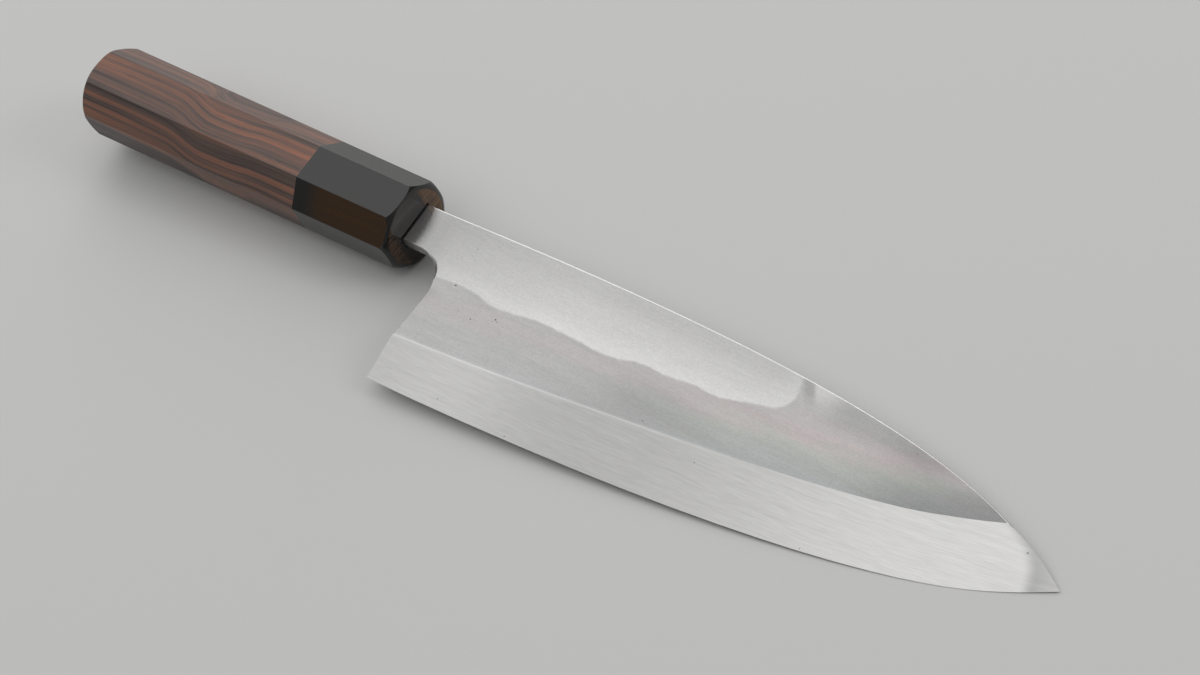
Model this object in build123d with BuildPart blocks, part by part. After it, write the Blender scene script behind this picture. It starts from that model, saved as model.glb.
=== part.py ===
from build123d import *
import os

os.makedirs("parts", exist_ok=True)

# A single-bevel kitchen knife with an octagonal handle, in millimetres. It is drawn level: the
# origin is on the handle's axis, just inside the ferrule's front, +X runs to the tip, +Y to the
# spine and +Z out of the bevelled side. At the end it is laid down as it lies on a table.

# Blade sizes
blade_length = 210.0  # heel corner to tip, along the handle's axis
blade_height = 53.3  # spine to heel corner
spine_height = 7.0  # spine above the handle's axis, at the origin
heel_gap = 17.4  # origin to heel corner
spine_thickness = 4.2  # at the ferrule
tip_thickness = 1.9  # where the bevel's ridge runs out over the spine
edge_thickness = 0.15
spine_rounding = 0.4
heel_rounding = 0.25  # of the neck's lower edges, the choil and the heel

# Neck and choil sizes
neck_height = 12.9
neck_in_ferrule = 3.0  # how far back the neck goes before it steps down to the tang
choil_radius = 12.0
choil_to_heel = 1.85  # straight run below the choil's curve
choil_flare = 1.6  # how much wider the rounded choil is at the blade's faces
choil_land = 0.15  # left square in the middle of its wall
flare_shift = 6.1  # of the rounding's centre from the choil's own, towards the blade
neck_hollow_radius = 29.0  # of the polished hollow next to the ferrule, seen from above
neck_hollow_depth = 0.8
neck_hollow_back = 22.7  # middle of that hollow behind the origin
neck_hollow_down = 4.0  # and below the handle's axis

# Tang sizes
tang_length = 95.0  # from the origin
tang_height = 9.6
tang_end_height = 5.2
tang_thickness = 3.2
tang_end_thickness = 2.2

# Hollow in the blade's back
hollow_depth = 0.45
edge_rim = 2.2
spine_rim = 3.2

# Handle sizes, all over the flats
handle_length = 127.0  # from the origin to the butt
ferrule_length = 35.9  # from the origin back
ferrule_front = 0.7  # in front of the origin
front_height = 25.3
front_width = 23.8
front_chamfer = 6.9
butt_height = 26.9
butt_width = 25.1
butt_chamfer = 7.4
facet_rounding = 0.3
front_rounding = 3.0  # of the edge that the ferrule's front is turned to
butt_rounding = 4.0  # and of the butt's
turned_margin = 0.2  # of both turned edges past the octagon's corners

# Inside the handle
ferrule_wall = 6.0  # the ferrule's closed front
dowel_in_handle = 25.0  # the dowel's length behind the ferrule
dowel_wall = 1.3  # beside the corners of its slot
slot_gap = 0.3  # round the neck, in the ferrule's front
tang_gap = 0.5  # round the tang, in the dowel's slot
tang_bore_gap = 0.9  # and behind the dowel, in the handle's own bore
tang_bore_spare = 3.0  # past the tang's end
glue_gap = 0.1
rest_share = 0.87  # where the edge touches the table, from the heel

overrun = 2.0  # of every cut past the face that it starts from

# The blade's flat faces, and the lower side and the middle of its neck
back_z = -spine_thickness / 2
front_z = spine_thickness / 2
neck_bottom = spine_height - neck_height
neck_middle = spine_height - neck_height / 2


def on_blade(along_share, down_share, z=0.0):
    """A place on the blade: shares of its length from the heel and of its height from the spine."""
    return Vector(heel_gap + along_share * blade_length, spine_height - down_share * blade_height, z)


# Shares of the blade's length and height, from the heel and from the spine
tip_share = (1.0, 0.442)
spine_shares = [
    (0.03, -0.009), (0.2, -0.022), (0.41, -0.016), (0.608, 0.0245),
    (0.777, 0.115), (0.87, 0.209), (0.925, 0.2885), (0.958, 0.3455),
]
edge_shares = [(0.203, 0.979), (0.393, 0.938), (0.584, 0.869), (0.774, 0.757), (0.87, 0.665), (0.965, 0.5145)]
heel_shares = [(0.0, 1.0), (0.0043, 0.788)]  # from the corner upwards
heel_lean_share = 0.0095  # of the choil's wall, towards the tip
ridge_shares = [(0.2, 0.689), (0.385, 0.619), (0.56, 0.542), (0.758, 0.422), (0.845, 0.332), (0.93, 0.219)]
ridge_on_spine_share = 0.9
before_heel_shares = [(-0.06, 1.0), (-0.06, 0.761)]  # the edge and the ridge, drawn past the blade
past_tip_shares = [(1.04, 0.36), (1.0, 0.1)]
hollow_shares = [-0.03, 0.05, 0.14, 0.27, 0.45, 0.63, 0.79, 0.91, 0.965]  # the hollow's sections
hollow_drop_shares = [0.44, 0.28, 0.09, 0, 0, 0, 0, 0, 0]  # of its upper rim, below the spine's rim

# The front face thins from the ferrule to the tip
thinning_start = Vector(0, spine_height, front_z)
thinning_end = on_blade(ridge_on_spine_share, 0, back_z + tip_thickness)
front_face = Plane(
    origin=thinning_start,
    x_dir=thinning_end - thinning_start,
    z_dir=(thinning_end - thinning_start).cross(Vector(0, 1, 0)),
)


def front_height_at(x):
    """Height of the thinned front face at a place along the blade."""
    share = (x - thinning_start.X) / (thinning_end.X - thinning_start.X)
    return thinning_start.Z + share * (thinning_end.Z - thinning_start.Z)


def height_on(curve, x):
    """Where a curve of the outline crosses a place along the blade."""
    return curve.intersect(Axis((x, 0, 0), (0, 1, 0)))[0].Y


def octagon(x):
    """Corners of the handle's octagon at a place along it, going round."""
    share = -x / handle_length
    y = (front_height + (butt_height - front_height) * share) / 2
    z = (front_width + (butt_width - front_width) * share) / 2
    corner = front_chamfer + (butt_chamfer - front_chamfer) * share
    quarter = [Vector(x, y, z - corner), Vector(x, y - corner, z)]
    half = quarter + [Vector(x, -v.Y, v.Z) for v in reversed(quarter)]
    return half + [Vector(x, v.Y, -v.Z) for v in reversed(half)]


def cut_facets():
    """Cuts the handle's eight tapering facets from the piece that is being made."""
    front, butt = octagon(0), octagon(-handle_length)
    for i in range(len(front)):
        along, across = butt[i] - front[i], front[i] - front[i - 1]
        split(bisect_by=Plane(front[i], x_dir=across, z_dir=along.cross(across)), keep=Keep.BOTTOM)


def turned_radius(x):
    """Radius of the round bar that an end of the handle is turned to."""
    return max(Vector(0, v.Y, v.Z).length for v in octagon(x)) + turned_margin


def turn_end(end_x, inner_x, rounding):
    """Turns the piece that is being made to a round bar with a rounded edge at its end."""
    radius = turned_radius(end_x)
    with BuildSketch() as half_bar:
        with Locations(((end_x + inner_x) / 2, radius / 2)):
            Rectangle(abs(end_x - inner_x), radius)
        fillet(half_bar.vertices().sort_by_distance((end_x, radius))[0], rounding)
    revolve(half_bar.sketch, axis=Axis.X, mode=Mode.INTERSECT)


def across_handle(x):
    """A plane across the handle, with its middle on the middle of the tang."""
    return Plane((x, neck_middle, 0), x_dir=(0, 1, 0), z_dir=(1, 0, 0))


def tang_size(x):
    """The tang's height and thickness at a place along it."""
    share = -x / tang_length
    height = tang_height + (tang_end_height - tang_height) * share
    thickness = tang_thickness + (tang_end_thickness - tang_thickness) * share
    return height, thickness


# Blade, with its neck and tang in one forging
tip = on_blade(*tip_share)
heel = [on_blade(*shares) for shares in heel_shares]
choil_x = on_blade(heel_lean_share, 0).X
heel.append(Vector(choil_x, neck_bottom - choil_radius - choil_to_heel))
spine = [Vector(0, spine_height)] + [on_blade(*shares) for shares in spine_shares] + [tip]
edge = [heel[0]] + [on_blade(*shares) for shares in edge_shares] + [tip]

with BuildPart() as blade:
    # A slab under the spine, thinned from the ferrule to the tip
    with BuildSketch(Plane.XY.offset(back_z)):
        with BuildLine():
            Line((-neck_in_ferrule, spine_height), spine[0])
            spine_line = Spline(spine, tangents=[(1, 0), tip - spine[-2]])
            past_tip = Line(tip, tip + (spine_line % 1) * 2 * overrun)
            below = heel[0].Y - overrun
            Line(past_tip @ 1, ((past_tip @ 1).X, below))
            Line(((past_tip @ 1).X, below), (-neck_in_ferrule, below))
            Line((-neck_in_ferrule, below), (-neck_in_ferrule, spine_height))
        make_face()
    extrude(amount=spine_thickness)
    split(bisect_by=front_face, keep=Keep.BOTTOM)
    fillet(blade.edges().filter_by(GeomType.BSPLINE), spine_rounding)

    # The slab is cut to the edge, the heel, the choil and the neck
    with BuildSketch(Plane.XY.offset(back_z)) as outline:
        with BuildLine():
            edge_line = Spline(edge, tangents=[(1, 0), tip - edge[-2]])
            past_tip = Line(tip, tip + (edge_line % 1) * overrun)
            above = spine_height + blade_height
            Line(past_tip @ 1, ((past_tip @ 1).X, above))
            Line(((past_tip @ 1).X, above), (-neck_in_ferrule, above))
            Line((-neck_in_ferrule, above), (-neck_in_ferrule, neck_bottom))
            Line((-neck_in_ferrule, neck_bottom), (choil_x, neck_bottom))
            Line((choil_x, neck_bottom), heel[-1])
            Spline(heel)
        make_face()
        fillet(outline.vertices().sort_by_distance((choil_x, neck_bottom, back_z))[0], choil_radius)
    extrude(amount=spine_thickness, mode=Mode.INTERSECT)
    low_edges = blade.edges().filter_by(
        lambda e: e.length > spine_thickness and e.center().X < choil_x and e.center().Y <= neck_bottom
    )
    fillet(low_edges, heel_rounding)

    # The choil is rounded over, most in the middle of its curve
    flare_radius = choil_radius + choil_flare - flare_shift
    flare_x = choil_x - choil_radius + flare_shift / 2**0.5
    flare_y = neck_bottom - choil_radius + flare_shift / 2**0.5
    with BuildSketch(Plane((flare_x, flare_y, 0), x_dir=(1, 0, 0), z_dir=(0, -1, 0))):
        with BuildLine():
            top = Line((flare_radius, front_z), (flare_radius, front_z + overrun))
            ThreePointArc(top @ 0, (flare_radius - choil_flare - choil_land, 0), (flare_radius, back_z))
            below = back_z - overrun
            Polyline((flare_radius, back_z), (flare_radius, below), (0, below), (0, (top @ 1).Y), top @ 1)
        make_face()
    revolve(axis=Axis((flare_x, flare_y, 0), (0, 0, 1)), mode=Mode.SUBTRACT)

    # The bevel is a straight line from the edge to the ridge, carried along the blade
    edge_stations = [before_heel_shares[0]] + edge_shares + [past_tip_shares[0]]
    ridge_stations = [before_heel_shares[1]] + ridge_shares + [past_tip_shares[1]]
    lower_rail, upper_rail = [], []
    for edge_station, ridge_station in zip(edge_stations, ridge_stations):
        low = on_blade(*edge_station, back_z + edge_thickness)
        high = on_blade(*ridge_station)
        high.Z = front_height_at(high.X)
        lower_rail.append(low + (low - high).normalized() * overrun)
        upper_rail.append(high + (high - low).normalized() * 2 * overrun)
    bevel = Face.make_surface_from_curves(Edge.make_spline(lower_rail), Edge.make_spline(upper_rail))
    extrude(bevel, amount=spine_thickness + overrun, dir=(0, 0, 1), mode=Mode.SUBTRACT)

    # The back is hollow between a flat rim along the edge and one under the spine
    for along_share, drop_share in zip(hollow_shares, hollow_drop_shares):
        x = on_blade(along_share, 0).X
        low = height_on(edge_line, max(x, edge[1].X)) + edge_rim
        high = height_on(spine_line, x) - spine_rim - drop_share * blade_height
        reach = (high - low) / 2
        depth = hollow_depth * (high - low) / blade_height
        with BuildSketch(Plane((x, low + reach, back_z), x_dir=(0, 1, 0), z_dir=(1, 0, 0))):
            with BuildLine():
                ThreePointArc((-reach, 0), (0, depth), (reach, 0))
                Polyline((reach, 0), (reach, -overrun), (-reach, -overrun), (-reach, 0))
            make_face()
    loft(mode=Mode.SUBTRACT)

    # A shallow polished hollow thins the neck on both sides
    ball_radius = (neck_hollow_radius**2 + neck_hollow_depth**2) / (2 * neck_hollow_depth)
    ball_height = front_z + ball_radius - neck_hollow_depth
    for side in (1, -1):
        with Locations((-neck_hollow_back, -neck_hollow_down, side * ball_height)):
            Sphere(ball_radius, mode=Mode.SUBTRACT)

    # The tang narrows from the neck into the handle
    for x in (0, -tang_length):
        with BuildSketch(across_handle(x)):
            Rectangle(*tang_size(x))
    loft()
blade.part.label = "blade"

# Sizes of the slots and bores inside the handle
dowel_front = -ferrule_wall
dowel_back = -ferrule_length - dowel_in_handle
tang_bore_end = -tang_length - tang_bore_spare
neck_slot_height, neck_slot_width = neck_height + 2 * slot_gap, spine_thickness + 2 * slot_gap
slot_height, slot_width = tang_height + 2 * tang_gap, tang_thickness + 2 * tang_gap
bore_radius = Vector(slot_height, slot_width).length / 2 + dowel_wall
tang_bore_radius = Vector(*tang_size(dowel_back)).length / 2 + tang_bore_gap

# Ferrule of horn, with a slot in its closed front for the neck and a bore behind it
with BuildPart() as horn_ferrule:
    with BuildSketch(Plane.YZ.offset(ferrule_front)):
        Rectangle(butt_height, butt_width)
    extrude(amount=-ferrule_front - ferrule_length)
    cut_facets()
    fillet(horn_ferrule.edges().filter_by(lambda e: e.length > ferrule_length - overrun), facet_rounding)
    turn_end(ferrule_front, -ferrule_length - overrun, front_rounding)
    with BuildSketch(across_handle(ferrule_front + overrun)):
        Rectangle(neck_slot_height, neck_slot_width)
    extrude(amount=-ferrule_front - overrun - ferrule_wall, mode=Mode.SUBTRACT)
    with BuildSketch(across_handle(dowel_front)):
        Circle(bore_radius)
    extrude(amount=-ferrule_length, mode=Mode.SUBTRACT)
horn_ferrule.part.label = "horn_ferrule"

# Handle body of ebony, bored for the dowel and, further in, for the tang
with BuildPart() as ebony_handle:
    with BuildSketch(Plane.YZ.offset(-handle_length)):
        Rectangle(butt_height, butt_width)
    extrude(amount=handle_length - ferrule_length)
    cut_facets()
    fillet(ebony_handle.edges().filter_by(lambda e: e.length > ferrule_length), facet_rounding)
    turn_end(-handle_length, overrun - ferrule_length, butt_rounding)
    with BuildSketch(across_handle(dowel_back)):
        Circle(bore_radius)
    extrude(amount=dowel_in_handle + overrun, mode=Mode.SUBTRACT)
    with BuildSketch(across_handle(tang_bore_end)):
        Circle(tang_bore_radius)
    extrude(amount=dowel_back - tang_bore_end + overrun, mode=Mode.SUBTRACT)
ebony_handle.part.label = "ebony_handle"

# Wooden dowel that joins the two, with a slot right through it for the tang
with BuildPart() as core_dowel:
    with BuildSketch(across_handle(dowel_front - glue_gap)):
        Circle(bore_radius - glue_gap)
        Rectangle(slot_height, slot_width, mode=Mode.SUBTRACT)
    extrude(amount=dowel_back - dowel_front + 2 * glue_gap)
core_dowel.part.label = "core_dowel"

# Resin that beds the tang: in the ferrule's slot, in the dowel's slot and in the handle's bore
with BuildPart() as tang_bedding:
    with BuildSketch(across_handle(-neck_in_ferrule - glue_gap)):
        Rectangle(neck_slot_height - 2 * glue_gap, neck_slot_width - 2 * glue_gap)
    extrude(amount=neck_in_ferrule + glue_gap - ferrule_wall)
    with BuildSketch(across_handle(dowel_front)):
        Rectangle(slot_height - 2 * glue_gap, slot_width - 2 * glue_gap)
    extrude(amount=dowel_back - dowel_front)
    with BuildSketch(across_handle(dowel_back)):
        Circle(tang_bore_radius - glue_gap)
    extrude(amount=tang_bore_end - dowel_back + glue_gap)
    for x in (0, -tang_length - glue_gap):
        height, thickness = tang_size(x)
        with BuildSketch(across_handle(x)):
            Rectangle(height + 2 * glue_gap, thickness + 2 * glue_gap)
    loft(mode=Mode.SUBTRACT)
tang_bedding.part.label = "tang_bedding"

# Laid on a table, the knife rests on the lower front corner of its ferrule and on the edge near
# the tip. The origin is the middle of its outer box, on the table.
ferrule_corner = Vector(ferrule_front, front_chamfer - front_height / 2, -front_width / 2)
past_flat = (ferrule_corner - Vector(ferrule_front)).length + front_rounding - turned_radius(ferrule_front)
ferrule_corner.X -= front_rounding - (front_rounding**2 - past_flat**2) ** 0.5
edge_contact = edge_line @ rest_share + Vector(0, 0, back_z)
table_up = (edge_contact - ferrule_corner).cross(edge_line % rest_share)
level_along = Vector(1, 0, 0) - table_up * table_up.X / table_up.length**2
table = Plane(ferrule_corner, x_dir=level_along, z_dir=table_up)
pieces = [blade, horn_ferrule, ebony_handle, core_dowel, tang_bedding]
for piece in pieces:
    piece.part.move(table.location.inverse())
lying_box = Compound([piece.part for piece in pieces]).bounding_box()
for piece in pieces:
    piece.part.move(Location((-lying_box.center().X, -lying_box.center().Y, -lying_box.min.Z)))

export_step(blade.part, "parts/blade.step")
export_step(horn_ferrule.part, "parts/horn_ferrule.step")
export_step(ebony_handle.part, "parts/ebony_handle.step")
export_step(core_dowel.part, "parts/core_dowel.step")
export_step(tang_bedding.part, "parts/tang_bedding.step")
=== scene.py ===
import bpy
import math
from mathutils import Matrix, Vector

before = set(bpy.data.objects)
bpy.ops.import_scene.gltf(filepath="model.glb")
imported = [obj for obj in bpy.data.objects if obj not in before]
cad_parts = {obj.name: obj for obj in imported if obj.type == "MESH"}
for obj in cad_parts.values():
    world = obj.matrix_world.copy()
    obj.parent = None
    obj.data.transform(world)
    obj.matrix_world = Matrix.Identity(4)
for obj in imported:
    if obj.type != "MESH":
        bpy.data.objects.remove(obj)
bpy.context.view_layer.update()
print("frame loaded:", ", ".join(sorted(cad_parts)))

# How the knife lies in the frame. Its own axes start on the handle's axis, just inside the
# ferrule's front, with x to the tip, y to the spine and z out of the bevelled side. The start is
# in metres and the turns are in degrees. All patterns are set out on these axes, in millimetres,
# and the unit is one of them in metres.
knifeLie = {"start": (-0.049869, 0.015941, 0.012439), "roll": 6.3925, "pitch": 2.0583,
            "unit": 0.001}


# Links a socket to an input, or writes a plain value there; a plain colour gets an alpha of 1
def feed(tree, socket, value):
    if isinstance(value, bpy.types.NodeSocket):
        tree.links.new(value, socket)
    elif socket.type == "RGBA":
        socket.default_value = (*value, 1.0)
    else:
        socket.default_value = value


# Adds a shader node with its settings, then feeds its inputs
def addNode(tree, kind, inputs=None, **settings):
    made = tree.nodes.new("ShaderNode" + kind)
    for name, value in settings.items():
        setattr(made, name, value)
    for key, value in (inputs or {}).items():
        feed(tree, made.inputs[key], value)
    return made


# One step of arithmetic on one, two or three values
def calc(tree, operation, a, b=0.0, c=0.0):
    return addNode(tree, "Math", {0: a, 1: b, 2: c}, operation=operation).outputs[0]


# One step of arithmetic on vectors; a length or a distance comes out as a plain value
def vectorCalc(tree, operation, a, b=(0.0, 0.0, 0.0)):
    made = addNode(tree, "VectorMath", {0: a, 1: b}, operation=operation)
    return made.outputs["Value" if operation in ("LENGTH", "DISTANCE") else "Vector"]


# Takes the first value with the second, their result with the third, and so on
def chain(tree, operation, values):
    result = values[0]
    for value in values[1:]:
        result = calc(tree, operation, result, value)
    return result


# a + b + c and so on
def total(tree, *values):
    return chain(tree, "ADD", values)


# a * b * c and so on: masks that must all hold
def product(tree, *values):
    return chain(tree, "MULTIPLY", values)


# The largest of a, b, c and so on: masks of which one is enough
def either(tree, *values):
    return chain(tree, "MAXIMUM", values)


# 1 - mask: all that the mask leaves out
def outside(tree, mask):
    return calc(tree, "SUBTRACT", 1.0, mask)


# 0 below low, 1 above high, and an eased rise between them; low above high turns it round
def rise(tree, value, low, high):
    return addNode(tree, "MapRange", {"Value": value, "From Min": low, "From Max": high},
                   interpolation_type="SMOOTHSTEP").outputs["Result"]


# Value moved straight from one range to another, held at its ends
def remap(tree, value, low, high, toLow, toHigh):
    return addNode(tree, "MapRange", {"Value": value, "From Min": low, "From Max": high,
                                      "To Min": toLow, "To Max": toHigh}).outputs["Result"]


# a + mask * (b - a) on plain values, which are inputs 2 and 3 of a Mix node
def blendValue(tree, mask, a, b):
    return addNode(tree, "Mix", {0: mask, 2: a, 3: b}).outputs[0]


# The same on colours, inputs 6 and 7 of a Mix node, or b laid on a in another of its ways
def blendColour(tree, mask, a, b, how="MIX"):
    return addNode(tree, "Mix", {0: mask, 6: a, 7: b}, data_type="RGBA", blend_type=how).outputs[2]


# Colour ramp through stops of (place, colour)
def shadeRamp(tree, value, stops):
    ramp = addNode(tree, "ValToRGB", {"Fac": value})
    for place, _ in stops[2:]:  # a new ramp has two stops
        ramp.color_ramp.elements.new(place)
    for element, (place, shade) in zip(ramp.color_ramp.elements, stops):
        element.position = place
        element.color = (*shade, 1.0)
    return ramp.outputs[0]


# Height of a smooth line drawn through (along, up) points, at a place along it. The curve node
# works from 0 to 1, so the span and the heights are moved there and its answer is moved back.
def lineHeight(tree, along, points, span, heights):
    start, end = span
    low, high = heights
    stops = [((place - start) / (end - start), (height - low) / (high - low))
             for place, height in points]
    curve = addNode(tree, "FloatCurve", {"Value": remap(tree, along, start, end, 0.0, 1.0)})
    track = curve.mapping.curves[0]
    for stop in stops[1:-1]:
        track.points.new(*stop)
    track.points[0].location = stops[0]
    track.points[-1].location = stops[-1]
    curve.mapping.update()
    return remap(tree, curve.outputs[0], 0.0, 1.0, low, high)


# Starts a group with its inputs as (name, socket type, first value) and its outputs as
# (name, socket type)
def startGroup(name, inputs, outputs):
    group = bpy.data.node_groups.new(name, "ShaderNodeTree")
    for label, kind, first in inputs:
        socket = group.interface.new_socket(label, in_out="INPUT",
                                            socket_type="NodeSocket" + kind)
        if first is not None:
            socket.default_value = first
    for label, kind in outputs:
        group.interface.new_socket(label, in_out="OUTPUT", socket_type="NodeSocket" + kind)
    return group, group.nodes.new("NodeGroupInput").outputs, group.nodes.new("NodeGroupOutput")


# The knife's own axes: (place - start), turned back by the knife's roll and pitch and measured in
# millimetres, the surface direction turned back in the same way, and level = |facingOut|
def makeKnifeAxes():
    names = [("place", "Vector"), ("along", "Float"), ("up", "Float"), ("out", "Float"),
             ("facingTip", "Float"), ("facingSpine", "Float"), ("facingOut", "Float"),
             ("level", "Float")]
    group, _, out = startGroup("knifeAxes", [], names)
    texture = group.nodes.new("ShaderNodeTexCoord").outputs
    turn = (math.radians(knifeLie["roll"]), math.radians(knifeLie["pitch"]), 0.0)
    place = addNode(group, "Mapping", {"Vector": texture["Object"], "Rotation": turn,
                                       "Location": knifeLie["start"],
                                       "Scale": (knifeLie["unit"],) * 3}, vector_type="TEXTURE")
    facing = addNode(group, "Mapping", {"Vector": texture["Normal"], "Rotation": turn},
                     vector_type="TEXTURE")
    sockets = [place.outputs[0]]
    for turned in (place, facing):
        sockets += addNode(group, "SeparateXYZ", {"Vector": turned.outputs[0]}).outputs
    sockets.append(calc(group, "ABSOLUTE", sockets[-1]))
    for (name, _), socket in zip(names, sockets):
        group.links.new(socket, out.inputs[name])
    return group


# Soft cloud from 0 to 1 with its middle at 0.5: noise at place / size + shift
def makeClouds():
    group, into, out = startGroup("clouds", [
        ("Place", "Vector", None), ("Size", "Vector", (1.0, 1.0, 1.0)),
        ("Shift", "Vector", (0.0, 0.0, 0.0)), ("Detail", "Float", 2.0),
        ("Roughness", "Float", 0.5)], [("Cloud", "Float")])
    sized = vectorCalc(group, "DIVIDE", into["Place"], into["Size"])
    noise = addNode(group, "TexNoise", {
        "Vector": vectorCalc(group, "ADD", sized, into["Shift"]), "Scale": 1.0,
        "Detail": into["Detail"], "Roughness": into["Roughness"]})
    group.links.new(noise.outputs["Fac"], out.inputs["Cloud"])
    return group


# Sway of the strokes, and the make-up of the strokes and of the few sharp scratches among them
strokeLook = {"swayScale": 0.04, "swayDetail": 1.0, "detail": 3.0, "roughness": 0.65,
              "scratchScale": 2.3, "scratchDetail": 1.0, "scratchRise": (0.68, 0.78)}


# Fine strokes left by stones and paper: noise at (place + wander * sway) / (length, width, width)
def makeStrokes():
    look = strokeLook
    group, into, out = startGroup("strokes", [
        ("Place", "Vector", None), ("Length", "Float", 12.0), ("Width", "Float", 0.3),
        ("Wander", "Float", 0.5)], [("Strokes", "Float"), ("Scratches", "Float")])
    bent = addNode(group, "TexNoise", {"Vector": into["Place"], "Scale": look["swayScale"],
                                       "Detail": look["swayDetail"]}).outputs["Color"]
    sway = vectorCalc(group, "SUBTRACT", bent, (0.5, 0.5, 0.5))  # about the noise's middle
    swayed = addNode(group, "VectorMath", {0: sway, "Scale": into["Wander"]},
                     operation="SCALE").outputs[0]
    grain = addNode(group, "CombineXYZ", {0: into["Length"], 1: into["Width"],
                                          2: into["Width"]}).outputs[0]
    drawn = vectorCalc(group, "DIVIDE", vectorCalc(group, "ADD", into["Place"], swayed), grain)
    soft = addNode(group, "TexNoise", {"Vector": drawn, "Scale": 1.0, "Detail": look["detail"],
                                       "Roughness": look["roughness"]}).outputs["Fac"]
    sharp = addNode(group, "TexNoise", {"Vector": drawn, "Scale": look["scratchScale"],
                                        "Detail": look["scratchDetail"]}).outputs["Fac"]
    group.links.new(soft, out.inputs["Strokes"])
    group.links.new(rise(group, sharp, *look["scratchRise"]), out.inputs["Scratches"])
    return group


knifeAxes = makeKnifeAxes()
clouds = makeClouds()
strokes = makeStrokes()


# A cloud whose size, shift, detail and roughness stand in a dictionary
def cloud(tree, place, look):
    return addNode(tree, "Group", {"Place": place, **look}, node_tree=clouds).outputs[0]


# Strokes whose length, width and wander stand in a dictionary
def drawStrokes(tree, place, look):
    return addNode(tree, "Group", {"Place": place, **look}, node_tree=strokes).outputs


# A new material with its node tree and its shader, whose plain values are written
def startMaterial(name, sockets):
    material = bpy.data.materials.new(name)
    material.use_nodes = True
    tree = material.node_tree
    shader = next(node for node in tree.nodes if node.type == "BSDF_PRINCIPLED")
    for key, value in sockets.items():
        feed(tree, shader.inputs[key], value)
    return material, tree, shader


# What a finish is set out by, each under its name: the knife's axes, and the clouds on them that
# the finish names
def measureKnife(tree, look, *cloudNames):
    at = {socket.name: socket for socket in addNode(tree, "Group", node_tree=knifeAxes).outputs}
    for name in cloudNames:
        at[name] = cloud(tree, at["place"], look[name])
    return at


# Product of the eased rises in a list of (name, low, high)
def zone(tree, at, rises):
    return product(tree, *(rise(tree, at[name], low, high) for name, low, high in rises))


# Sum of zone * what it adds, for a list of (rises, what it adds)
def addShades(tree, at, zones):
    return total(tree, *(product(tree, zone(tree, at, rises), adds) for rises, adds in zones))


# tone * (1 + the sum of shares)
def vary(tree, tone, *shares):
    return product(tree, tone, total(tree, 1.0, *shares))


# 1 at a middle on the flat, eased down to 0 at its reach: a rise of |(place - middle) / reach|
def patch(tree, flatPlace, middle, reach):
    moved = vectorCalc(tree, "SUBTRACT", flatPlace, (*middle, 0.0))
    scaled = vectorCalc(tree, "DIVIDE", moved, (*reach, 1.0))
    return rise(tree, vectorCalc(tree, "LENGTH", scaled), 1.0, 0.0)


# Links what a material has worked out to its shader, with the height as a bump
def finishMaterial(tree, shader, colour, roughness, height, lift):
    bump = addNode(tree, "Bump", {"Height": height, "Strength": 1.0, "Distance": lift})
    feed(tree, shader.inputs["Base Color"], colour)
    feed(tree, shader.inputs["Roughness"], roughness)
    feed(tree, shader.inputs["Normal"], bump.outputs[0])


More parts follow.
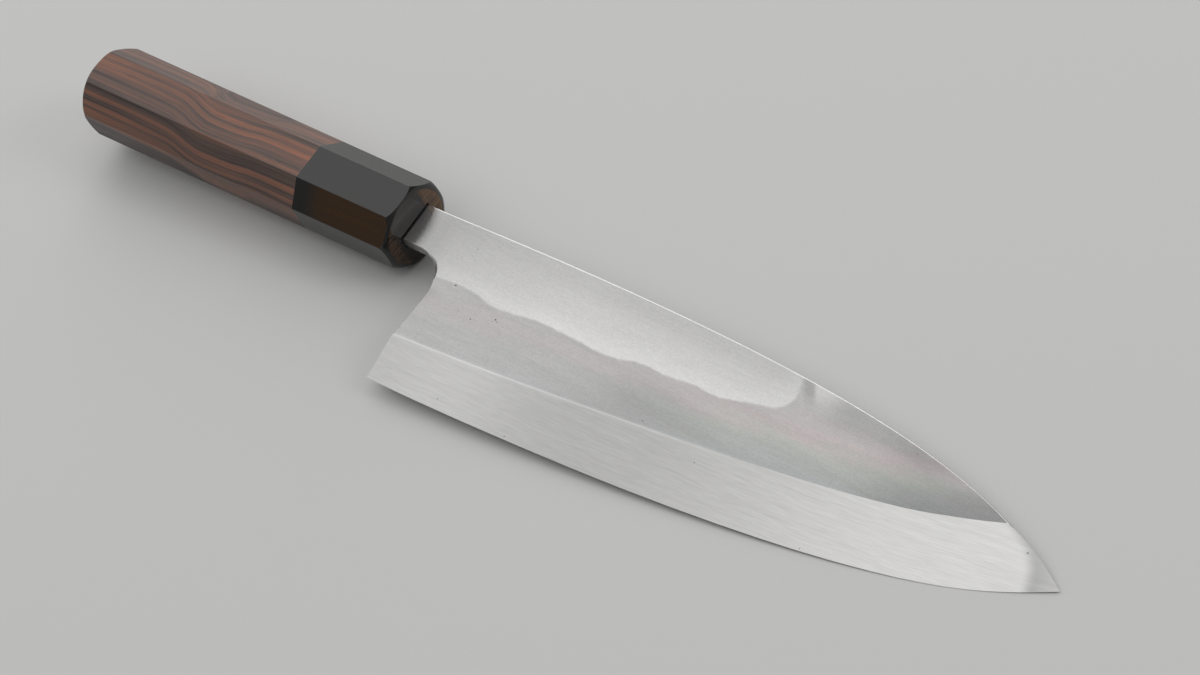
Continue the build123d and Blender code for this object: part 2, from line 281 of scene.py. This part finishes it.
# The blade's finish. Places are in millimetres, and tones are grey levels of bare steel. A zone is
# a list of rises as (name, low, high), and a shade is a zone with the grey level that it adds.
# Four numbers move the range of the first two to that of the last two. A share is a part of the
# tone that is added to it.
steelLook = {
    "shader": {"Metallic": 1.0, "IOR": 2.5},

    # Lines as (along, up), and the room that they are drawn in
    "lineSpan": (0.0, 240.0), "lineHeights": (-40.0, 10.0),
    "ridgeLine": [(4.8, -33.56), (59.4, -29.72), (98.25, -25.99), (135.0, -21.89),
                  (176.6, -15.49), (194.85, -10.7), (212.7, -4.67), (235.8, 1.67)],
    "temperLine": [(0, -12.5), (19, -12.0), (26, -11.4), (33, -11.5), (40, -12.9), (47, -12.4),
                   (54, -11.4), (69, -11.3), (79, -11.7), (85, -11.0), (91, -9.6), (101, -9.6),
                   (109, -8.7), (115, -9.0), (121, -8.0), (127, -6.4), (132, -5.9), (240, -5.9)],
    # The soft part's end along the spine, how much it leans, and how round its corner is
    "temperEnd": 136.9, "temperLean": 0.36, "temperRound": 13.0,
    "feather": {"Size": (2.5, 1.2, 50.0), "Detail": 4.0}, "featherReach": (-0.35, 0.35),

    # The blade's parts. Of the walls one rise is enough, and the back's rims lie at out = -2.1.
    "back": [("facingOut", -0.3, -0.6)],
    "walls": [("level", 0.85, 0.45), ("facingSpine", 0.12, 0.30)],
    "bevel": [("aboveRidge", 0.05, -0.05)],
    "soft": [("insideTemper", -0.45, 0.45)],
    "hollow": [("out", -2.08, -2.04)],
    "neck": [("pastNeck", 0.5, -0.7)],

    # Soft steel: brighter along the blade and down from the spine, brightest beside the line
    "softAlong": (6.0, 62.0, 0.442, 0.552), "softUp": (5.0, -10.0, -0.039, 0.052),
    "softShades": [([("insideTemper", 7.0, 0.4)], 0.039),
                   ([("up", -1.0, 5.0), ("along", 30.0, 80.0)], -0.035)],

    # Hard steel: a cloudy, streaked depth that darkens by the ridge and towards the tip. At the
    # soft part's end a dark fold runs down from the spine, with a pale wedge behind it.
    "hardTone": 0.436,
    "depth": {"Size": (26.0, 3.4, 50.0), "Shift": (4.0, 7.0, 0.0), "Detail": 4.0,
              "Roughness": 0.55},
    "depthTone": (0.25, 0.75, -0.021, 0.021),
    "foldLean": 0.58, "foldPlace": 140.4,
    "wedgeSlope": 0.10, "wedgeHeight": -12.6,
    "hardShades": [([("aboveRidge", 11.0, 1.0), ("along", 55.0, 95.0)], -0.052),
                   ([("aboveRidge", 11.0, 1.0), ("along", 150.0, 198.0)], -0.058),
                   ([("up", -5.0, -0.5), ("along", 143.0, 153.0), ("along", 190.0, 175.0)],
                    -0.065),
                   ([("along", 158.0, 184.0)], -0.066),
                   ([("offFold", 2.6, 0.6), ("up", -2.0, 3.0)], -0.078),
                   ([("aboveWedge", -1.6, 3.0), ("pastFold", 1.0, 3.0), ("along", 153.0, 142.0)],
                    0.095)],
    # Soft-edged patches as (middle, reach, what they add); the broad one about (103, -18.5) is a
    # painted dark reflection
    "hardPatches": [((103.0, -18.5), (30.0, 9.0), -0.055), ((19.5, -17.0), (5.0, 3.5), -0.052)],

    # Fine make-up of the whole flat
    "mottle": {"Size": (3.2, 1.3, 50.0), "Detail": 5.0, "Roughness": 0.7},
    "mottleShare": (0.2, 0.8, -0.06, 0.06),
    "speckle": {"Size": (0.9, 0.42, 50.0), "Detail": 2.0, "Roughness": 0.6},
    "speckleShare": (0.2, 0.8, -0.10, 0.10),
    "flatStrokes": {"Length": 11.0, "Width": 0.32}, "flatStrokeShare": (0.2, 0.8, -0.06, 0.06),

    # Bevel: its tone as (along, tone), steel grey with painted reflection that is brighter towards
    # the tip, and strokes that half follow the ridge
    "bevelToneWithReflection": [(0, 0.48), (20, 0.50), (42, 0.53), (75, 0.449), (105, 0.449), (140, 0.518),
                  (185, 0.625), (240, 0.64)],
    "toneHeights": (0.0, 1.0),
    "sweep": -0.45,
    "bevelStrokes": {"Length": 26.0, "Width": 0.30, "Wander": 2.0},
    "bevelStrokeShare": (0.25, 0.75, -0.085, 0.07),
    "fineStrokes": {"Size": (7.0, 0.32, 50.0), "Detail": 2.0, "Roughness": 0.6},
    "fineStrokeShare": (0.2, 0.8, -0.085, 0.085),
    "bands": {"Size": (60.0, 1.6, 50.0), "Detail": 3.0}, "bandShare": (0.25, 0.75, -0.035, 0.035),
    "scratchShare": -0.05,
    # Past an arc about a middle, the bevel's tip is darker
    "tipMiddle": (204.2, -22.3, 0.0), "tipRadius": 15.6,
    "tip": [("pastTipArc", -2.2, 1.8), ("along", 205.0, 210.0)], "tipTone": (0.0, 9.0, 0.41, 0.53),

    # A thin painted highlight on the ridge, with a soft painted highlight about it
    "ridgeHighlights": [([("offRidge", 0.24, 0.06), ("along", 124.0, 88.0)], 0.09),
                    ([("offRidge", 0.9, 0.0), ("along", 150.0, 120.0)], 0.058)],

    # Back, spine and other walls, lighter as a painted highlight, and the polished neck with its
    # arc and the painted highlight beyond it
    "rimTone": 0.56, "hollowTone": 0.42, "hollowSoft": 0.07,
    "backStrokeShare": (0.25, 0.75, -0.05, 0.04),
    "wallHighlightTone": 0.66, "wallMottle": (0.2, 0.8, -0.04, 0.04),
    "neckMiddle": (-22.7, -4.0, 0.0), "neckRadius": 29.1, "neckTone": (-4.0, 0.0, 0.72, 0.85),
    "neckHighlight": [("pastNeck", 6.0, 0.5)], "neckHighlightShare": 0.32,

    # Faint colours left by fine stones: bluish, green and pink upwards from the ridge
    "drift": {"Size": (30.0, 4.0, 50.0), "Detail": 3.0}, "driftReach": (-6.0, 6.0),
    "hueReach": 22.0,
    "hues": [(0.05, (0.985, 1.0, 1.005)), (0.32, (0.985, 1.018, 0.950)),
             (0.60, (1.070, 0.970, 0.965)), (0.85, (1.008, 0.998, 0.990))],
    "plainHue": (1.008, 1.0, 0.992),
    "strongHue": [("along", 80.0, 140.0), ("along", 205.0, 172.0)], "hueShare": (0.45, 1.0),
    "fleckScale": 0.35, "fleckDetail": 4.0, "fleckShare": 0.055,

    # Pits as (along, up, radius), and where their edge fades in and out, in radii
    "pitColour": (0.09, 0.085, 0.08), "pitEdge": (1.3, 0.6),
    "pits": [(26.0, -11.8, 0.28), (27.5, -9.6, 0.11), (24.6, 0.6, 0.13), (26.3, -2.6, 0.12),
             (30.8, 5.2, 0.11), (21.5, -3.3, 0.09), (17.8, -3.3, 0.08), (30.0, -20.7, 0.11),
             (44.0, -16.0, 0.26), (44.7, -16.5, 0.16), (43.5, -16.7, 0.13), (37.0, -19.0, 0.20),
             (32.0, -18.2, 0.12), (28.5, -17.2, 0.10), (42.0, -43.0, 0.16), (67.0, -44.0, 0.16),
             (102.0, -24.0, 0.18), (122.0, -28.0, 0.15), (161.0, -36.0, 0.15), (175.0, 0.0, 0.14),
             (215.0, -11.4, 0.22)],

    "roughness": {"hard": 0.30, "soft": 0.38, "bevel": 0.34, "rim": 0.16, "hollow": 0.32,
                  "neck": 0.26},
    "flatRelief": 0.4, "lift": 0.00002,
}


# Adds what the blade is set out by to the knife's axes: heights above the ridge's line and inside
# the temper line, distances past the fold, the wedge and two arcs, and the masks of its parts.
# The depth inside the temper line is the smooth smaller of up - line and end - (along + lean).
def measureBlade(tree, at, look):
    along, up = at["along"], at["up"]
    at["flatPlace"] = addNode(tree, "CombineXYZ", {0: along, 1: up}).outputs[0]
    at["back"] = zone(tree, at, look["back"])
    at["front"] = outside(tree, at["back"])
    at["wall"] = either(tree, *(zone(tree, at, [one]) for one in look["walls"]))
    at["hollow"] = zone(tree, at, look["hollow"])

    at["ridge"] = lineHeight(tree, along, look["ridgeLine"], look["lineSpan"],
                             look["lineHeights"])
    at["aboveRidge"] = calc(tree, "SUBTRACT", up, at["ridge"])
    at["offRidge"] = calc(tree, "ABSOLUTE", at["aboveRidge"])
    at["bevel"] = product(tree, zone(tree, at, look["bevel"]), at["front"])

    temper = lineHeight(tree, along, look["temperLine"], look["lineSpan"], look["lineHeights"])
    feather = remap(tree, cloud(tree, at["place"], look["feather"]), 0.0, 1.0,
                    *look["featherReach"])
    aboveTemper = total(tree, calc(tree, "SUBTRACT", up, temper), feather)
    lean = calc(tree, "MAXIMUM", calc(tree, "MULTIPLY", up, look["temperLean"]), 0.0)
    beforeEnd = calc(tree, "SUBTRACT", look["temperEnd"], calc(tree, "ADD", along, lean))
    at["insideTemper"] = calc(tree, "SMOOTH_MIN", aboveTemper, beforeEnd, look["temperRound"])
    at["soft"] = zone(tree, at, look["soft"])

    leaned = calc(tree, "MULTIPLY_ADD", up, look["foldLean"], along)
    at["pastFold"] = calc(tree, "SUBTRACT", leaned, look["foldPlace"])
    at["offFold"] = calc(tree, "ABSOLUTE", at["pastFold"])
    wedgeLine = calc(tree, "MULTIPLY_ADD", along, look["wedgeSlope"], look["wedgeHeight"])
    at["aboveWedge"] = calc(tree, "SUBTRACT", up, wedgeLine)
    fromTip = vectorCalc(tree, "DISTANCE", at["flatPlace"], look["tipMiddle"])
    at["pastTipArc"] = calc(tree, "SUBTRACT", fromTip, look["tipRadius"])
    fromNeck = vectorCalc(tree, "DISTANCE", at["flatPlace"], look["neckMiddle"])
    at["pastNeck"] = calc(tree, "SUBTRACT", fromNeck, look["neckRadius"])
    at["neck"] = product(tree, zone(tree, at, look["neck"]), outside(tree, at["wall"]))


# Tone of the flat: soft above the temper line and hard below it, each a base with shades added,
# varied by mottle, speckle and strokes
def toneFlat(tree, at, look):
    soft = total(tree, remap(tree, at["along"], *look["softAlong"]),
                 remap(tree, at["up"], *look["softUp"]), addShades(tree, at, look["softShades"]))
    patches = [product(tree, patch(tree, at["flatPlace"], middle, reach), adds)
               for middle, reach, adds in look["hardPatches"]]
    hard = total(tree, look["hardTone"], remap(tree, at["depth"], *look["depthTone"]), *patches,
                 addShades(tree, at, look["hardShades"]))
    return vary(tree, blendValue(tree, at["soft"], hard, soft),
                remap(tree, at["mottle"], *look["mottleShare"]),
                remap(tree, at["speckle"], *look["speckleShare"]),
                remap(tree, at["flatStrokes"]["Strokes"], *look["flatStrokeShare"]))


# Tone of the bevel: a line of tones along the blade, steel grey with painted reflection, another
# tone past the tip's arc, varied by strokes, bands and scratches
def toneBevel(tree, at, look):
    plain = lineHeight(tree, at["along"], look["bevelToneWithReflection"], look["lineSpan"],
                       look["toneHeights"])
    tip = remap(tree, at["pastTipArc"], *look["tipTone"])
    return vary(tree, blendValue(tree, zone(tree, at, look["tip"]), plain, tip),
                remap(tree, at["bevelStrokes"]["Strokes"], *look["bevelStrokeShare"]),
                remap(tree, cloud(tree, at["swept"], look["fineStrokes"]),
                      *look["fineStrokeShare"]),
                remap(tree, cloud(tree, at["swept"], look["bands"]), *look["bandShare"]),
                product(tree, at["bevelStrokes"]["Scratches"], look["scratchShare"]))


# Tone of the back: a ground hollow between polished flat rims, a little lighter where it is soft
def toneBack(tree, at, look):
    hollow = total(tree, look["hollowTone"], product(tree, at["soft"], look["hollowSoft"]))
    return vary(tree, blendValue(tree, at["hollow"], look["rimTone"], hollow),
                remap(tree, at["bevelStrokes"]["Strokes"], *look["backStrokeShare"]))


# Tone of the whole blade: flat and bevel with the ridge's painted highlight added, then back and
# walls laid over them, the walls lighter as a painted highlight, and last the neck, polished
# inside its arc, with a painted highlight beyond the arc
def toneBlade(tree, at, look):
    tone = blendValue(tree, at["bevel"], toneFlat(tree, at, look), toneBevel(tree, at, look))
    tone = total(tree, tone, product(tree, addShades(tree, at, look["ridgeHighlights"]), at["front"]))
    tone = blendValue(tree, at["back"], tone, toneBack(tree, at, look))
    # The walls' lighter grey is a painted highlight along the rounded edges
    wall = total(tree, look["wallHighlightTone"], remap(tree, at["mottle"], *look["wallMottle"]))
    tone = blendValue(tree, at["wall"], tone, wall)
    # Painted highlight: the flat is lightened in a band just beyond the neck's arc
    highlight = product(tree, zone(tree, at, look["neckHighlight"]), outside(tree, at["wall"]))
    tone = vary(tree, tone, product(tree, highlight, look["neckHighlightShare"]))
    return blendValue(tree, at["neck"], tone, remap(tree, at["pastNeck"], *look["neckTone"]))


# Tint of the hard flat: a ramp of faint hues over the height above the ridge, strongest in the
# blade's front half, with flecks of colour laid over it
def tintBlade(tree, at, look):
    drift = remap(tree, at["drift"], 0.0, 1.0, *look["driftReach"])
    height = remap(tree, calc(tree, "ADD", at["aboveRidge"], drift), 0.0, look["hueReach"],
                   0.0, 1.0)
    bare = product(tree, *(outside(tree, at[name]) for name in ("soft", "bevel", "neck")),
                   at["front"])
    share = product(tree, bare, remap(tree, zone(tree, at, look["strongHue"]), 0.0, 1.0,
                                      *look["hueShare"]))
    flecks = addNode(tree, "TexNoise", {"Vector": at["place"], "Scale": look["fleckScale"],
                                        "Detail": look["fleckDetail"]}).outputs["Color"]
    tint = blendColour(tree, share, look["plainHue"], shadeRamp(tree, height, look["hues"]))
    return blendColour(tree, look["fleckShare"], tint, flecks, "OVERLAY")


# 1 inside the pits: for each a rise of the distance from its middle, on the front alone
def maskPits(tree, at, look):
    far, near = look["pitEdge"]
    pits = [rise(tree, vectorCalc(tree, "DISTANCE", at["flatPlace"], (along, up, 0.0)),
                 radius * far, radius * near) for along, up, radius in look["pits"]]
    return product(tree, either(tree, *pits), at["front"], outside(tree, at["wall"]))


# Steel: tint * tone, with dark pits, and strokes as its relief everywhere but on the neck. The
# bevel's strokes are drawn on (along, up + sweep * ridge, out), so they half follow the ridge.
def makeSteel():
    look = steelLook
    material, tree, shader = startMaterial("bladeSteel", look["shader"])
    at = measureKnife(tree, look, "depth", "mottle", "speckle", "drift")
    measureBlade(tree, at, look)
    trend = calc(tree, "MULTIPLY_ADD", at["ridge"], look["sweep"], at["up"])
    at["swept"] = addNode(tree, "CombineXYZ", {0: at["along"], 1: trend, 2: at["out"]}).outputs[0]
    at["flatStrokes"] = drawStrokes(tree, at["place"], look["flatStrokes"])
    at["bevelStrokes"] = drawStrokes(tree, at["swept"], look["bevelStrokes"])

    tone = toneBlade(tree, at, look)
    grey = addNode(tree, "CombineColor", {0: tone, 1: tone, 2: tone}).outputs[0]
    colour = blendColour(tree, 1.0, tintBlade(tree, at, look), grey, "MULTIPLY")
    colour = blendColour(tree, maskPits(tree, at, look), colour, look["pitColour"])

    polish = look["roughness"]
    flat = blendValue(tree, at["soft"], polish["hard"], polish["soft"])
    back = blendValue(tree, at["hollow"], polish["rim"], polish["hollow"])
    roughness = blendValue(tree, at["back"],
                           blendValue(tree, at["bevel"], flat, polish["bevel"]), back)
    roughness = blendValue(tree, at["neck"], roughness, polish["neck"])
    flatHeight = product(tree, at["flatStrokes"]["Strokes"], look["flatRelief"])
    height = product(tree, blendValue(tree, at["bevel"], flatHeight,
                                      at["bevelStrokes"]["Strokes"]), outside(tree, at["neck"]))
    finishMaterial(tree, shader, colour, roughness, height, look["lift"])
    return material


# The ferrule's finish, with zones and four numbers as for the steel
hornLook = {
    "shader": {"IOR": 1.53},
    # The second, grey colour is painted sheen on the black horn
    "black": (0.010, 0.0095, 0.009), "sheenGrey": (0.024, 0.0235, 0.023),
    "brown": (0.044, 0.017, 0.0), "smoke": (0.026, 0.014, 0.010),
    "amber": (0.085, 0.030, 0.008), "tan": (0.150, 0.085, 0.030),
    "streaks": {"Size": (30.0, 2.2, 2.2), "Detail": 4.0, "Roughness": 0.6},
    "veins": {"Size": (8.0, 5.0, 2.4), "Shift": (3.0, 1.0, 0.0), "Detail": 3.0,
              "Roughness": 0.5},
    "hairs": {"Size": (60.0, 0.9, 0.9), "Detail": 2.0},
    "lines": {"Size": (6.0, 12.0, 0.55), "Detail": 3.0, "Roughness": 0.6},
    # Broad facets are painted sheen grey, the upper chamfer has grey hairs that are painted sheen
    # too, and light shows brown through the lower chamfer away from its dark rear end
    "sheenZone": [("level", 0.90, 0.99)],
    "hairSheenZone": [("hairs", 0.50, 0.70), ("facingSpine", 0.3, 0.6)],
    "brownZone": [("chamfer", 1.22, 1.38), ("facingSpine", 0.0, -0.1), ("along", -33.0, -24.0)],
    "brownStreaks": (0.25, 0.7, 0.55, 1.0),
    # The flat front: smoky lines beside the slot, and marbled ends about a middle height
    "frontZone": [("facingTip", 0.965, 0.995)],
    "smokeZone": [("lines", 0.42, 0.66)], "tanZone": [("lines", 0.40, 0.60)],
    "frontMiddle": -0.5,
    "marbleZone": [("veins", 0.26, 0.50), ("offMiddle", 6.0, 8.0)],
    "marbleUp": (-7.0, 7.0, 0.45, 1.0),
    "roughness": (0.0, 1.0, 0.10, 0.22), "lift": 0.00001,
}


# Horn: black, with painted sheen on its broad facets and in grey hairs or brown laid over it, and
# a front of its own
def makeHorn():
    look = hornLook
    material, tree, shader = startMaterial("polishedHorn", look["shader"])
    at = measureKnife(tree, look, "streaks", "veins", "hairs", "lines")
    at["chamfer"] = total(tree, calc(tree, "ABSOLUTE", at["facingSpine"]), at["facingOut"])
    at["offMiddle"] = calc(tree, "ABSOLUTE", calc(tree, "SUBTRACT", at["up"],
                                                  look["frontMiddle"]))

    # Painted sheen: grey on the broad facets and in hairs on the upper chamfer
    grey = either(tree, zone(tree, at, look["hairSheenZone"]), zone(tree, at, look["sheenZone"]))
    clear = product(tree, zone(tree, at, look["brownZone"]),
                    remap(tree, at["streaks"], *look["brownStreaks"]))
    side = blendColour(tree, grey, look["black"], look["sheenGrey"])
    side = blendColour(tree, clear, side, look["brown"])

    smoky = blendColour(tree, zone(tree, at, look["smokeZone"]), look["black"], look["smoke"])
    marble = blendColour(tree, zone(tree, at, look["tanZone"]), look["amber"], look["tan"])
    marbled = product(tree, zone(tree, at, look["marbleZone"]),
                      remap(tree, at["up"], *look["marbleUp"]))
    front = blendColour(tree, marbled, smoky, marble)
    colour = blendColour(tree, zone(tree, at, look["frontZone"]), side, front)
    finishMaterial(tree, shader, colour, remap(tree, at["streaks"], *look["roughness"]),
                   at["veins"], look["lift"])
    return material


# The handle's finish. The board's layers lean across the handle, and four numbers move one range
# to another.
woodLook = {
    "shader": {"IOR": 1.43},
    # Colours from the darkest stripes to the lightest
    "shades": [(0.18, (0.042, 0.031, 0.027)), (0.40, (0.102, 0.070, 0.060)),
               (0.58, (0.185, 0.094, 0.068)), (0.82, (0.310, 0.125, 0.072))],
    # How light the stripes are, as (place through the board, lightness)
    "stripes": [(-20, 0.45), (-15, 0.20), (-12.5, 0.30), (-9.6, 0.64), (-8.2, 0.58),
                (-7.2, 0.38), (-6.1, 0.62), (-5.0, 0.36), (-3.8, 0.38), (-2.5, 0.74),
                (-1.4, 0.40), (0.6, 0.34), (2.6, 0.42), (4.0, 0.56), (5.4, 0.42), (7.2, 0.62),
                (8.1, 0.52), (9.3, 0.74), (10.5, 0.46), (11.9, 0.64), (13.2, 0.42),
                (15.0, 0.46), (20, 0.36)],
    "stripeSpan": (-20.0, 20.0), "stripeHeights": (0.0, 1.0),
    # Where the stripes step aside, as (along, aside)
    "bend": [(-128, 0.0), (-108, 0.1), (-94, -0.1), (-90, -0.3), (-87.5, -0.7), (-78, -3.0),
             (-75, -3.4), (-71, -3.4), (-63, -3.1), (-52, -2.0), (-36, -1.8), (0, -1.8)],
    "bendSpan": (-128.0, 0.0), "bendHeights": (-4.0, 1.0),
    "boardLean": 0.55,
    "sway": {"Size": (50.0, 14.0, 14.0), "Detail": 2.0}, "swayReach": (-1.0, 1.0),
    "fine": {"Size": (110.0, 0.50, 6.0), "Detail": 3.0, "Roughness": 0.6},
    "fineTone": (0.25, 0.75, -0.21, 0.21),
    "drift": {"Size": (45.0, 2.4, 9.0), "Detail": 2.0}, "driftTone": (0.25, 0.75, -0.12, 0.12),
    "pores": {"Size": (6.0, 0.13, 0.6), "Detail": 2.0}, "poreRise": (0.60, 0.74),
    "poreShare": 0.55,
    "roughness": (0.2, 0.8, 0.46, 0.36), "fineRelief": 0.3, "lift": 0.00003,
}


# Striped wood: layer = up + lean * out - bend + sway tells the stripe, across = out - lean * up
# runs along the layer, and a ramp colours stripe + fine grain + drift; pores are dark and sunk
def makeEbony():
    look = woodLook
    material, tree, shader = startMaterial("stripedEbony", look["shader"])
    at = measureKnife(tree, look, "sway")
    bend = lineHeight(tree, at["along"], look["bend"], look["bendSpan"], look["bendHeights"])
    leaned = calc(tree, "MULTIPLY_ADD", at["out"], look["boardLean"], at["up"])
    layer = total(tree, leaned, product(tree, bend, -1.0),
                  remap(tree, at["sway"], 0.0, 1.0, *look["swayReach"]))
    across = calc(tree, "SUBTRACT", at["out"],
                  calc(tree, "MULTIPLY", at["up"], look["boardLean"]))
    board = addNode(tree, "CombineXYZ", {0: at["along"], 1: layer, 2: across}).outputs[0]
    fine, drift, pores = (cloud(tree, board, look[name]) for name in ("fine", "drift", "pores"))

    stripe = lineHeight(tree, layer, look["stripes"], look["stripeSpan"], look["stripeHeights"])
    tone = total(tree, stripe, remap(tree, fine, *look["fineTone"]),
                 remap(tree, drift, *look["driftTone"]))
    poreMask = rise(tree, pores, *look["poreRise"])
    darkest = look["shades"][0][1]
    colour = blendColour(tree, product(tree, poreMask, look["poreShare"]),
                         shadeRamp(tree, tone, look["shades"]), darkest)
    height = calc(tree, "SUBTRACT", product(tree, fine, look["fineRelief"]), poreMask)
    finishMaterial(tree, shader, colour, remap(tree, fine, *look["roughness"]), height,
                   look["lift"])
    return material


# Wood and resin hidden inside the handle
hiddenLook = {
    "core_dowel": {"name": "dowelWood", "base": (0.45, 0.31, 0.18), "dark": (0.30, 0.19, 0.10),
                   "grain": {"Size": (30.0, 0.8, 0.8), "Detail": 3.0},
                   "roughness": (0.0, 1.0, 0.6, 0.7), "lift": 0.00003},
    "tang_bedding": {"name": "beddingResin", "base": (0.10, 0.075, 0.05),
                     "dark": (0.06, 0.045, 0.03),
                     "grain": {"Size": (4.0, 4.0, 4.0), "Detail": 3.0},
                     "roughness": (0.0, 1.0, 0.35, 0.45), "lift": 0.00003},
}


# A plain finish: base colour blended to dark by one cloud, which is its relief too
def makeHidden(look):
    material, tree, shader = startMaterial(look["name"], {})
    grain = measureKnife(tree, look, "grain")["grain"]
    finishMaterial(tree, shader, blendColour(tree, grain, look["base"], look["dark"]),
                   remap(tree, grain, *look["roughness"]), grain, look["lift"])
    return material


finishes = {"blade": makeSteel(), "horn_ferrule": makeHorn(), "ebony_handle": makeEbony()}
for node, look in hiddenLook.items():
    finishes[node] = makeHidden(look)
for node, material in finishes.items():
    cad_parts[node].material_slots[0].material = material
print("finishes:", ", ".join(material.name for material in finishes.values()))


# Floor and world, then the square soft lamps, which all aim at the middle of the floor, and the
# camera, whose picture runs across and down along two directions
stageLook = {"floorColour": (0.61, 0.61, 0.60), "floorRoughness": 0.75, "floorHalf": 6.0,
             "worldColour": (1.0, 1.0, 1.0), "worldLight": 0.20}
softboxes = {
    "overheadBox": {"place": (-0.62, 0.25, 1.30), "size": 3.6, "power": 34.8},
    "backBox": {"place": (-0.90, 1.25, 0.62), "size": 1.1, "power": 3.4},
    "sideBox": {"place": (1.30, 0.60, 0.90), "size": 0.6, "power": 4.5},
}
cameraView = {"place": (0.48519, -0.29876, 0.60786), "across": (0.75634, 0.59245, -0.27740),
              "down": (0.33046, -0.71198, -0.61958), "lens": 90.0, "nearest": 0.01}


# A flat square about the origin, clear from below so that the underside can be looked at
def makeFloor():
    half = stageLook["floorHalf"]
    mesh = bpy.data.meshes.new("floor")
    mesh.from_pydata([(-half, -half, 0), (half, -half, 0), (half, half, 0), (-half, half, 0)],
                     [], [(0, 1, 2, 3)])
    floor = bpy.data.objects.new("floor", mesh)
    bpy.context.collection.objects.link(floor)
    material, tree, shader = startMaterial("paleFloor", {
        "Base Color": stageLook["floorColour"], "Roughness": stageLook["floorRoughness"]})
    clear = addNode(tree, "BsdfTransparent").outputs[0]
    below = addNode(tree, "NewGeometry").outputs["Backfacing"]
    both = addNode(tree, "MixShader", {0: below, 1: shader.outputs[0], 2: clear}).outputs[0]
    surface = next(node for node in tree.nodes if node.type == "OUTPUT_MATERIAL")
    feed(tree, surface.inputs["Surface"], both)
    mesh.materials.append(material)


# An even dim world, and area lamps that the camera doesn't see
def makeLights():
    world = bpy.data.worlds.new("softWorld")
    world.use_nodes = True
    sky = world.node_tree.nodes["Background"]
    feed(world.node_tree, sky.inputs["Color"], stageLook["worldColour"])
    feed(world.node_tree, sky.inputs["Strength"], stageLook["worldLight"])
    bpy.context.scene.world = world
    for name, box in softboxes.items():
        lamp = bpy.data.lights.new(name, "AREA")
        lamp.shape = "SQUARE"
        lamp.size = box["size"]
        lamp.energy = box["power"]
        holder = bpy.data.objects.new(name, lamp)
        holder.location = box["place"]
        holder.rotation_euler = Vector(box["place"]).to_track_quat("Z", "Y").to_euler()
        holder.visible_camera = False
        bpy.context.collection.objects.link(holder)


# The camera's own axes are across, up and their cross product, out of the picture
def makeCamera():
    camera = bpy.data.objects.new("camera", bpy.data.cameras.new("camera"))
    camera.data.lens = cameraView["lens"]
    camera.data.clip_start = cameraView["nearest"]
    across = Vector(cameraView["across"]).normalized()
    up = -Vector(cameraView["down"]).normalized()
    turned = Matrix((across, up, across.cross(up))).transposed().to_4x4()
    camera.matrix_world = Matrix.Translation(cameraView["place"]) @ turned
    bpy.context.collection.objects.link(camera)
    bpy.context.scene.camera = camera


makeFloor()
makeLights()
makeCamera()
bpy.context.scene.view_settings.view_transform = "Standard"
print("stage: floor, lights, camera")
